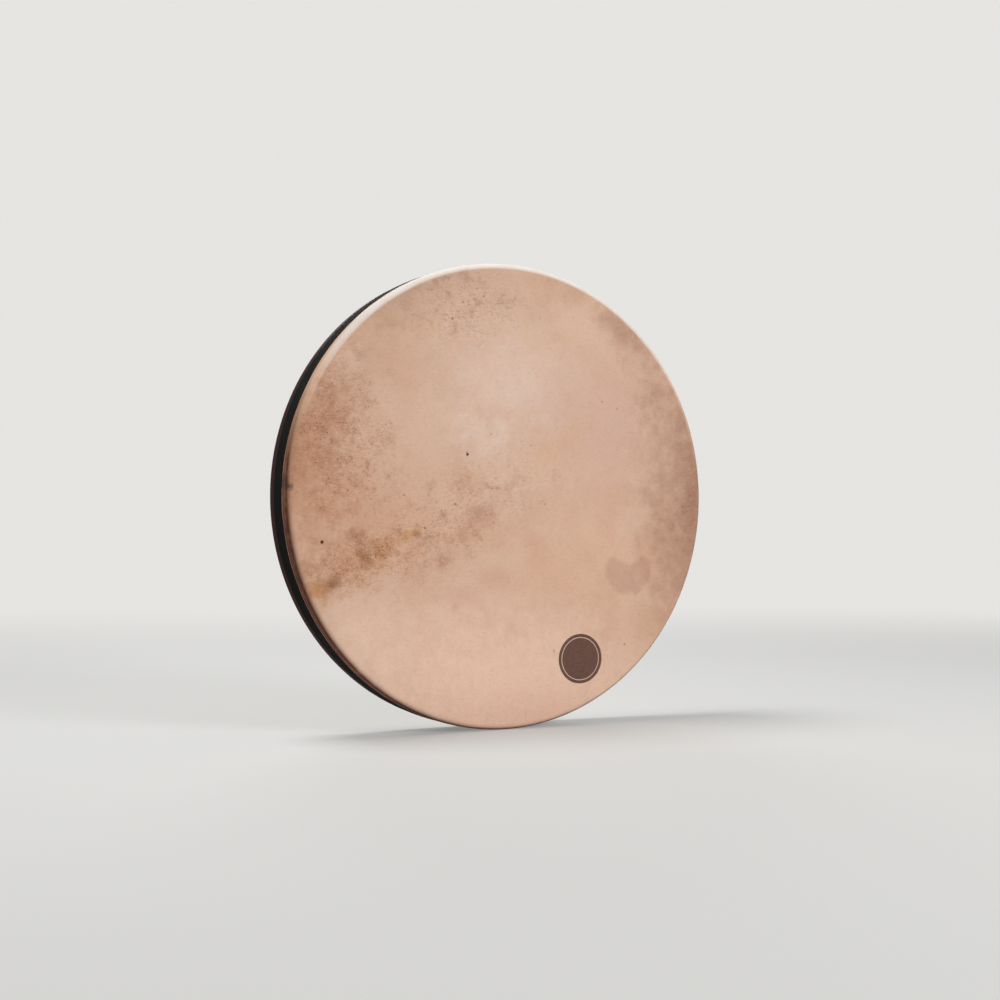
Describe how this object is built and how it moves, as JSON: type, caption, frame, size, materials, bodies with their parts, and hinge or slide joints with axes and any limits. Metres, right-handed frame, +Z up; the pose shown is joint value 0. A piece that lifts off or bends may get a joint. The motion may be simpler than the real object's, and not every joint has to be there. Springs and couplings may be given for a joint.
{
  "type": "frame drum",
  "caption": "Round single-headed frame drum: a natural skin glued over a shallow laminated wood frame, with a black edge band and a thumb hole.",
  "frame": {"origin": "on the floor below the middle of the drum's depth, the drum standing on its rim", "axes": "+Z up, +Y along the drum's axis from the skin to the open back, +X to the right as seen facing the skin"},
  "size_m": [0.4571, 0.0502, 0.4572],
  "materials": {
    "goat_skin": "natural unbleached skin, dry and matt with a faint sheen",
    "face_veneer": "dark red-brown stain under a satin lacquer",
    "core_veneer": "dark red-brown stain on the end layers of the plies",
    "edge_band": "black, matt"
  },
  "bodies": {
    "root": {"outer_face_ply": "face_veneer", "core_ply_1": "core_veneer", "core_ply_2": "core_veneer", "core_ply_3": "core_veneer", "core_ply_4": "core_veneer", "inner_face_ply": "face_veneer", "goat_skin": "goat_skin", "edge_band": "edge_band"}
  },
  "joints": []
}
